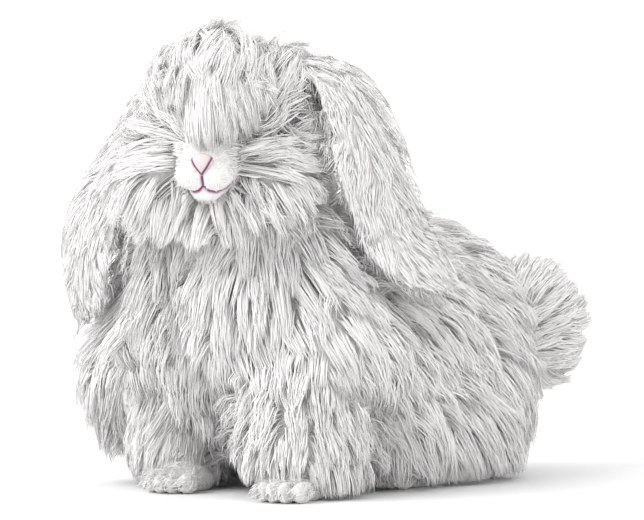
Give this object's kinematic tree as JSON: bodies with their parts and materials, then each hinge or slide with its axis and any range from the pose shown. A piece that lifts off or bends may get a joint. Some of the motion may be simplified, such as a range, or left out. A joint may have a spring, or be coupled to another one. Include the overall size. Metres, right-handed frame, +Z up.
{
  "type": "angora rabbit",
  "caption": "Life-size still model of a lop-eared angora rabbit sitting on its four feet, in a long woolly coat, with its head turned to its left.",
  "frame": {"origin": "on the floor, under the middle of the whole model's box", "axes": "+Z up; the rabbit's body faces -Y, its left side is +X, and its tail points to +Y"},
  "size_m": [0.2812, 0.4158, 0.3206],
  "materials": {
    "wool": "long, soft, matt white angora wool in clumped locks",
    "short_fur": "short, dense white fur with a faint sheen",
    "nose_skin": "bare pink skin, finely pebbled and slightly moist",
    "eye": "wet, glossy, very dark eye"
  },
  "bodies": {
    "root": {"head": "wool", "nose": "nose_skin", "eye_left": "eye", "eye_right": "eye", "ear_left": "wool", "ear_right": "wool", "neck": "wool", "torso": "wool", "foreleg_left": "wool", "foreleg_right": "wool", "forepaw_left": "short_fur", "forepaw_right": "short_fur", "hindleg_left": "wool", "hindleg_right": "wool", "hindfoot_left": "short_fur", "hindfoot_right": "short_fur", "tail": "wool"}
  },
  "joints": []
}
